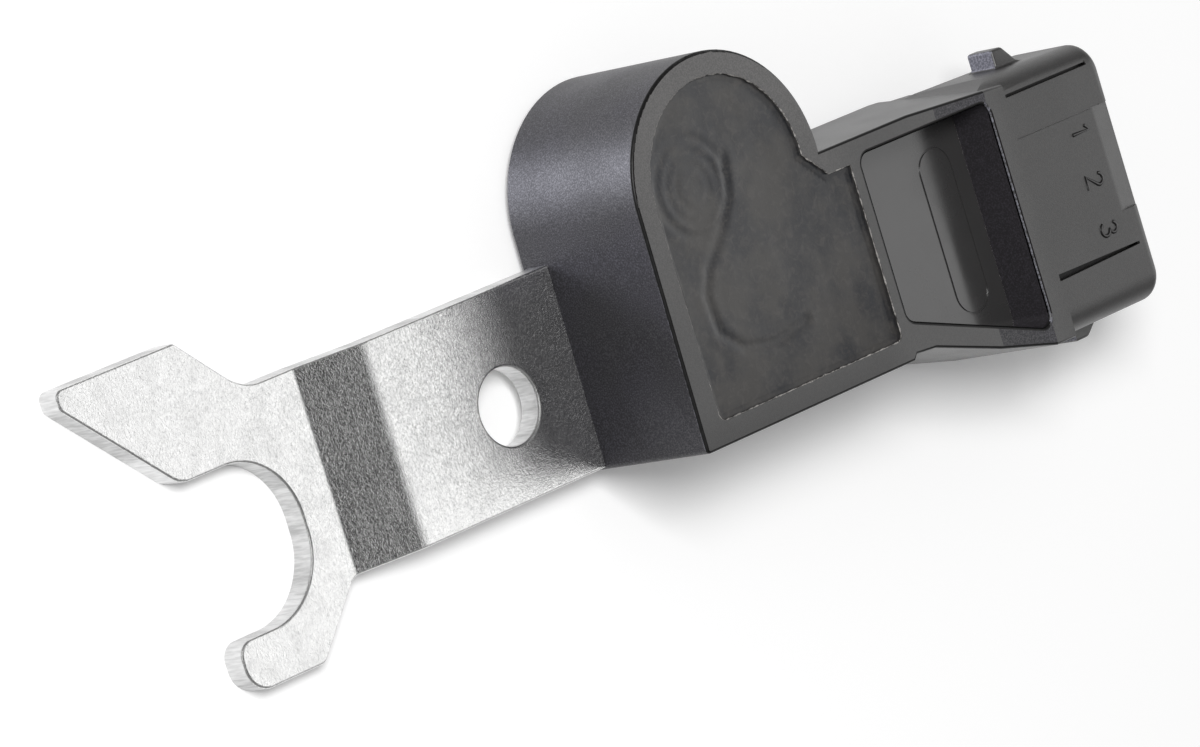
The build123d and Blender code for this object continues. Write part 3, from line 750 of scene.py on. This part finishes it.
    def by_mouth(self, place):
        """True where a place, seen from the front, lies within the recess's outline."""
        inside = RECESS_LEFT_X < place.x < FLANGE_X + 0.2 * MM and place.y < RECESS_TOP_Y
        foot = RECESS_FOOT_Y + RECESS_FOOT_RISE * max(0, FLANGE_X - place.x)
        return inside and place.y > foot

    def on_mouth(self, ends):
        """True for a front edge of the neck's recess."""
        front = all(end.z > RIM_Z - 0.02 * MM for end in ends)
        return front and self.by_mouth((ends[0] + ends[1]) / 2)

    def sort_roundings(self, piece, plastic):
        """Painted shade on roundings towards the light's far side, painted highlights along the flange's
        edge of the recess and in the recess's inner corner.
        """
        for face in piece.data.polygons:
            middle = face.center
            near_front = middle.z > RIM_Z - 1.02 * MM
            # Painted highlight on the recess's edge by the flange.
            if face.material_index == PAINTED_SHADE and near_front and self.by_mouth(middle):
                if middle.x > FLANGE_X - 0.5 * MM and abs(face.normal.y) < 0.5:
                    face.material_index = EDGE_HIGHLIGHT
            elif face.material_index != EDGE or middle.x > plastic.band_end + MM:
                continue
            # Painted shade on front roundings turned from the light.
            elif middle.z > RIM_Z - 0.5 * MM:
                outward = (middle - POTTING_MIDDLE).xy.dot(face.normal.xy) > 0
                shaded = middle.x > RECESS_LEFT_X or outward and face.normal.x < 0.1
                face.material_index = PAINTED_SHADE if shaded else EDGE
            # Painted highlight in the recess's inner corner.
            elif self.in_recess(middle) and -0.95 < face.normal.x < -0.3:
                face.material_index = CORNER_HIGHLIGHT


class SENSOR_OT_flash(bpy.types.Operator):
    """Leave thin trimmed flash along the edge round the potting"""

    bl_idname = "sensor.flash"
    bl_label = "Flash"

    def execute(self, context):
        plastic = settings().plastic
        piece = merged_copy("potting_compound", "trimmed_flash")
        bpy.ops.object.mode_set(mode="EDIT")
        bpy.ops.mesh.select_mode(type="FACE")
        bpy.ops.mesh.select_all(action="DESELECT")
        bpy.ops.object.mode_set(mode="OBJECT")
        for face in piece.data.polygons:
            face.select = not (face.normal.z > 0.9 and face.center.z > POTTING_HIGH[2] - TOP_MARGIN)
        bpy.ops.object.mode_set(mode="EDIT")
        bpy.ops.mesh.delete(type="FACE")
        bpy.ops.mesh.select_all(action="SELECT")
        bpy.ops.mesh.delete(type="ONLY_FACE")
        bpy.ops.mesh.select_all(action="SELECT")
        bpy.ops.mesh.subdivide(number_cuts=80)
        bpy.ops.mesh.remove_doubles(threshold=0.09 * MM)
        bpy.ops.object.mode_set(mode="OBJECT")
        bpy.ops.object.convert(target="CURVE")
        line = context.object
        line.data.bevel_depth = plastic.flash
        line.data.bevel_resolution = 1
        for spline in line.data.splines:
            for point in spline.points:
                self.tear(point, plastic.flash)
        bpy.ops.object.convert(target="MESH")
        put_finish(line, flash_finish())
        return {"FINISHED"}

    def tear(self, point, flash):
        """Set a point's thickness and let it sway towards the potting's middle."""
        x, y = point.co.x / MM, point.co.y / MM
        inward = (POTTING_MIDDLE.xy - point.co.xy).normalized()
        sway = noise.noise(Vector((x, y, 3)) / 0.5) + 0.5 * noise.noise(Vector((x, y, 7)) / 0.2)
        point.radius = self.thickness(x, y)
        point.co.x += inward.x * (sway + 0.3) * flash
        point.co.y += inward.y * (sway + 0.3) * flash
        point.co.z = RIM_Z - 0.8 * flash

    def thickness(self, x, y):
        """Share of the full thickness at a point in mm: torn and uneven."""
        torn = noise.noise(Vector((x, y, 0)) / 0.9) + 0.7 * noise.noise(Vector((x, y, 0)) / 0.3)
        return min(1.0, max(0.15, 0.6 + 1.1 * torn))


class SENSOR_OT_pin_numbers(bpy.types.Operator):
    """Raise the pin numbers on the socket's front"""

    bl_idname = "sensor.pin_numbers"
    bl_label = "Pin numbers"

    def execute(self, context):
        numbers = settings().numbers
        # The digits' sides get black painted shade.
        side = painted_shade_finish(settings().plastic)
        for count, stroke in enumerate(self.strokes()):
            line = bpy.data.curves.new(f"pin_number_{count + 1}", "CURVE")
            line.dimensions = "3D"
            line.bevel_depth = numbers.stroke
            line.bevel_resolution = 3
            line.use_fill_caps = True
            spline = line.splines.new("POLY")
            spline.points.add(len(stroke) - 1)
            for point, (across, up) in zip(spline.points, stroke):
                x = MOUTH_X - numbers.inset + (up - 0.5) * numbers.height
                y = numbers.first_y - count * numbers.pitch - across * numbers.height
                point.co = (x, y, RIM_Z + numbers.relief - numbers.stroke, 1)
            holder = bpy.data.objects.new(line.name, line)
            context.scene.collection.objects.link(holder)
            only(holder)
            bpy.ops.object.convert(target="MESH")
            self.dress(context.object, side)
        return {"FINISHED"}

    def dress(self, piece, side):
        """Sides in black painted shade and a satin top."""
        put_finish(piece, side)
        piece.data.materials.append(bpy.data.materials["satin_plastic"])
        for face in piece.data.polygons:
            face.material_index = int(face.normal.z > 0.93)
        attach(piece, BODY)

    def strokes(self):
        """Middle lines of the digits 1, 2 and 3: across from the middle and up, in digit heights."""
        one = [(0.02, 0), (0.02, 1), (-0.2, 0.8)]
        two = self.bow(0.0, 0.74, 0.24, 170, -40) + [(-0.26, 0.0), (0.3, 0.0)]
        three = self.bow(0.0, 0.75, 0.22, 160, -80) + self.bow(0.0, 0.27, 0.26, 80, -160)
        return one, two, three

    def bow(self, across, up, radius, start, end):
        """Points on an arc, with its angles in degrees."""
        turns = [math.radians(start + (end - start) * n / 8) for n in range(9)]
        return [(across + radius * math.cos(turn), up + radius * math.sin(turn)) for turn in turns]


class SENSOR_OT_bracket(bpy.types.Operator):
    """Plate the bracket with dull zinc"""

    bl_idname = "sensor.bracket"
    bl_label = "Bracket"

    def execute(self, context):
        put_finish(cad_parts["mounting_bracket"], zinc_finish(settings().steel))
        return {"FINISHED"}


class SENSOR_OT_potting(bpy.types.Operator):
    """Pour the potting, with its risen edge and the rings and swirl it set with"""

    bl_idname = "sensor.potting"
    bl_label = "Potting"

    def execute(self, context):
        resin = settings().resin
        piece = merged_copy("potting_compound", "poured_potting")
        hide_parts("potting_compound")
        put_finish(piece, potting_finish())
        bpy.ops.object.mode_set(mode="EDIT")
        bpy.ops.mesh.select_all(action="DESELECT")
        bpy.ops.object.mode_set(mode="OBJECT")
        for face in piece.data.polygons:
            face.select = face.normal.z > 0.9 and face.center.z > POTTING_HIGH[2] - TOP_MARGIN
        bpy.ops.object.mode_set(mode="EDIT")
        bpy.ops.mesh.select_mode(type="FACE")
        bpy.ops.mesh.inset(thickness=resin.meniscus)
        bpy.ops.mesh.inset(thickness=resin.meniscus)
        bpy.ops.mesh.hide(unselected=True)
        self.grid(resin, 0)
        self.grid(resin, 1)
        bpy.ops.mesh.select_all(action="SELECT")
        bpy.ops.object.mode_set(mode="OBJECT")
        for vertex in piece.data.vertices:
            if vertex.select and not vertex.hide:
                vertex.co.z += self.relief(vertex.co.x / MM, vertex.co.y / MM) * MM - resin.sag
        bpy.ops.object.mode_set(mode="EDIT")
        bpy.ops.mesh.reveal(select=False)
        bpy.ops.object.mode_set(mode="OBJECT")
        smooth(piece, 50)
        return {"FINISHED"}

    def grid(self, resin, axis):
        """Cut the chosen top face into narrow strips square to an axis."""
        place = POTTING_LOW[axis] + resin.pitch
        square = Vector([1 if i == axis else 0 for i in range(3)])
        while place < POTTING_HIGH[axis]:
            bpy.ops.mesh.select_all(action="SELECT")
            bpy.ops.mesh.bisect(plane_co=square * place, plane_no=square)
            place += resin.pitch

    def relief(self, x, y):
        """Height in mm of the set resin at a point in mm."""
        point = Vector((x, y, 0))
        height = 0.07 * noise.noise(point / 5) + 0.03 * noise.noise(point / 2)
        height += 0.012 * noise.noise(point / 0.8)
        right, up = x - RING_MIDDLE[0], y - RING_MIDDLE[1]
        upper_left = max(0.0, min(1.0, 0.5 + (up - right) / 5))
        height += upper_left * self.ring(math.hypot(right, up), *HALF_RING)
        height += sum(self.ring(math.hypot(right, up), *ring) for ring in RINGS)
        from_swirl = min(self.reach(point, *ends) for ends in zip(SWIRL, SWIRL[1:]))
        height -= 0.2 * math.exp(-((from_swirl / 0.36) ** 2))
        height += 0.03 * math.exp(-(((from_swirl - 1.0) / 0.4) ** 2))
        return height

    def ring(self, from_middle, radius, rise, width):
        """Height in mm of one ring at a distance from the rings' middle."""
        return rise * math.exp(-(((from_middle - radius) / width) ** 2))

    def reach(self, point, start, end):
        """Distance from a point to a stretch of the swirl."""
        start, end = Vector((*start, 0)), Vector((*end, 0))
        along = end - start
        share = max(0.0, min(1.0, (point - start).dot(along) / along.length_squared))
        return (point - start - along * share).length


class SENSOR_OT_inner_parts(bpy.types.Operator):
    """Finish the pins and the sealed parts"""

    bl_idname = "sensor.inner_parts"
    bl_label = "Pins and inner parts"

    def execute(self, context):
        tin = plain_metal("tinned_brass", (0.72, 0.70, 0.66), 0.25)
        solder = plain_metal("dull_solder", (0.6, 0.6, 0.61), 0.4)
        iron = plain_metal("bare_iron", (0.45, 0.45, 0.46), 0.35)
        finishes = {
            "terminal_pin": tin,
            "hall_lead": tin,
            "pin_solder": solder,
            "lead_solder": solder,
            "pole_plate": iron,
            "magnet": iron,
            "circuit_board": plain_dull("solder_mask", (0.03, 0.16, 0.06), 0.35),
            "hall_chip": plain_dull("chip_moulding", (0.02, 0.02, 0.02), 0.4),
            "chip_holder": plain_dull("natural_plastic", (0.5, 0.48, 0.42), 0.5),
            "capacitor": plain_dull("brown_ceramic", (0.32, 0.22, 0.13), 0.4),
            "resistor": plain_dull("black_ceramic", (0.03, 0.03, 0.03), 0.3),
        }
        for name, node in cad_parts.items():
            for start, material in finishes.items():
                if name.startswith(start):
                    put_finish(node, material)
        return {"FINISHED"}


class SENSOR_OT_studio(bpy.types.Operator):
    """Set the floor, the lamps, the surroundings and the camera"""

    bl_idname = "sensor.studio"
    bl_label = "Studio"

    def execute(self, context):
        studio = settings().studio
        floor_z = CAD_BOX[0][2]
        bpy.ops.object.select_all(action="DESELECT")
        bpy.ops.mesh.primitive_plane_add(size=4, location=(0, 0, floor_z))
        floor = context.object
        floor.name = "floor"
        finish = Finish("pale_floor")
        put_finish(floor, finish.material)
        finish.shader.inputs["Base Color"].default_value = (1, 1, 1, 1)
        finish.shader.inputs["Roughness"].default_value = 0.9
        finish.shader.inputs["Specular IOR Level"].default_value = 0.0
        finish.shader.inputs["Emission Color"].default_value = (1, 1, 1, 1)
        finish.shader.inputs["Emission Strength"].default_value = studio.floor_glow
        floor.visible_shadow = False
        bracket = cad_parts["mounting_bracket"]
        others = [piece for piece in bpy.data.objects if piece.type == "MESH" and piece != bracket]
        key = self.lamp("key", (-0.48, 0.3, 0.8), 0.32, 7.6, (1, 1, 1))
        self.light_only(key, others)
        sheen = self.lamp("plating_sheen", (-0.62, 0.31, 0.72), 0.8, 1.3, (1, 1, 1))
        self.light_only(sheen, [bracket])
        side = self.lamp("low_side", (-0.44, 0.34, -0.58), 0.3, 4.2, (0.86, 0.87, 1.0))
        self.light_only(side, [bpy.data.objects["moulded_housing"]])
        self.world(studio)
        camera = bpy.data.cameras.new("camera")
        camera.lens = studio.lens
        camera.sensor_width = 36
        camera.clip_start = 0.01
        holder = bpy.data.objects.new("camera", camera)
        holder.location = studio.camera_place
        holder.rotation_euler = Euler(studio.camera_turn)
        context.scene.collection.objects.link(holder)
        context.scene.camera = holder
        context.scene.view_settings.view_transform = "Standard"
        return {"FINISHED"}

    def lamp(self, name, place, size, power, colour):
        """A square area lamp that faces the part's head."""
        lamp = bpy.data.lights.new(name, "AREA")
        lamp.size = size
        lamp.energy = power
        lamp.color = colour
        holder = bpy.data.objects.new(name, lamp)
        holder.location = place
        aim = Vector((0.02, 0, 0.01)) - Vector(place)
        holder.rotation_euler = aim.to_track_quat("-Z", "Y").to_euler()
        bpy.context.scene.collection.objects.link(holder)
        return holder

    def light_only(self, lamp, pieces):
        """Let a lamp light some pieces and no others."""
        lit = bpy.data.collections.new("lit_by_" + lamp.name)
        for piece in pieces:
            lit.objects.link(piece)
        lamp.light_linking.receiver_collection = lit

    def world(self, studio):
        """White to the camera; reflections see a dim sky, dark overhead, and soft boxes at its sides."""
        world = bpy.data.worlds.new("studio")
        bpy.context.scene.world = world
        world.use_nodes = True
        world.cycles.sampling_method = "NONE"
        tree = world.node_tree
        nodes, links = tree.nodes, tree.links
        background = nodes["Background"]
        way = nodes.new("ShaderNodeTexCoord").outputs["Generated"]

        def lobe(direction, inner, outer):
            """1 near a direction, falling to 0 between two angles in degrees."""
            dot = nodes.new("ShaderNodeVectorMath")
            dot.operation = "DOT_PRODUCT"
            links.new(way, dot.inputs[0])
            dot.inputs[1].default_value = Vector(direction).normalized()
            step = nodes.new("ShaderNodeMapRange")
            step.interpolation_type = "SMOOTHSTEP"
            step.inputs["From Min"].default_value = math.cos(math.radians(outer))
            step.inputs["From Max"].default_value = math.cos(math.radians(inner))
            links.new(dot.outputs["Value"], step.inputs["Value"])
            return step.outputs["Result"]

        def number(operation, first, second):
            """One Math node, whose inputs are numbers or outputs."""
            made = nodes.new("ShaderNodeMath")
            made.operation = operation
            for socket, value in zip(made.inputs, (first, second)):
                if isinstance(value, bpy.types.NodeSocket):
                    links.new(value, socket)
                else:
                    socket.default_value = value
            return made.outputs[0]

        dark = lobe((0.13, -0.13, 0.98), 15, 27)
        soft_box = lobe((0.78, -0.08, 0.62), 23, 32)
        low_box = lobe((0.96, -0.05, 0.26), 8, 20)
        side_strip = lobe((-0.98, -0.1, -0.1), 8, 16)
        sky = lobe((0, 0, 1), 86, 96)
        seen = number("SUBTRACT", 0.9, number("MULTIPLY", sky, 0.66))
        seen = number("MULTIPLY", seen, number("SUBTRACT", 1.0, number("MULTIPLY", dark, 0.9)))
        seen = number("ADD", seen, soft_box)
        seen = number("ADD", seen, number("MULTIPLY", low_box, 0.8))
        seen = number("ADD", seen, number("MULTIPLY", side_strip, 0.4))
        path = nodes.new("ShaderNodeLightPath").outputs
        reflected = number("MAXIMUM", path["Is Glossy Ray"], path["Is Transmission Ray"])
        strength = number("MULTIPLY", reflected, seen)
        other = number("SUBTRACT", 1.0, number("MAXIMUM", reflected, path["Is Camera Ray"]))
        strength = number("ADD", strength, number("MULTIPLY", other, studio.ambient))
        strength = number("ADD", strength, path["Is Camera Ray"])
        links.new(strength, background.inputs["Strength"])
        background.inputs["Color"].default_value = (1, 1, 1, 1)


class SENSOR_PT_panel(bpy.types.Panel):
    """Lists the sensor's pieces and the studio"""

    bl_label = "Sensor"
    bl_space_type = "VIEW_3D"
    bl_region_type = "UI"
    bl_category = "Sensor"

    def draw(self, context):
        for operator in OPERATORS:
            self.layout.operator(operator.bl_idname)
        for group in ("plastic", "steel", "resin", "numbers", "studio"):
            box = self.layout.box()
            box.label(text=group.capitalize())
            values = getattr(context.scene.sensor, group)
            for name in values.__annotations__:
                box.prop(values, name)


GROUPS = (
    SENSOR_PG_plastic,
    SENSOR_PG_steel,
    SENSOR_PG_resin,
    SENSOR_PG_numbers,
    SENSOR_PG_studio,
    SENSOR_PG_settings,
)
OPERATORS = (
    SENSOR_OT_housing,
    SENSOR_OT_flash,
    SENSOR_OT_pin_numbers,
    SENSOR_OT_bracket,
    SENSOR_OT_potting,
    SENSOR_OT_inner_parts,
    SENSOR_OT_studio,
)


def register():
    for item in (*GROUPS, *OPERATORS, SENSOR_PT_panel):
        bpy.utils.register_class(item)
    bpy.types.Scene.sensor = PointerProperty(type=SENSOR_PG_settings)


def unregister():
    del bpy.types.Scene.sensor
    for item in reversed((*GROUPS, *OPERATORS, SENSOR_PT_panel)):
        bpy.utils.unregister_class(item)


def main():
    """Build everything in order."""
    register()
    bpy.ops.sensor.housing()
    bpy.ops.sensor.flash()
    bpy.ops.sensor.pin_numbers()
    bpy.ops.sensor.bracket()
    bpy.ops.sensor.potting()
    bpy.ops.sensor.inner_parts()
    bpy.ops.sensor.studio()


if __name__ == "__main__":
    main()
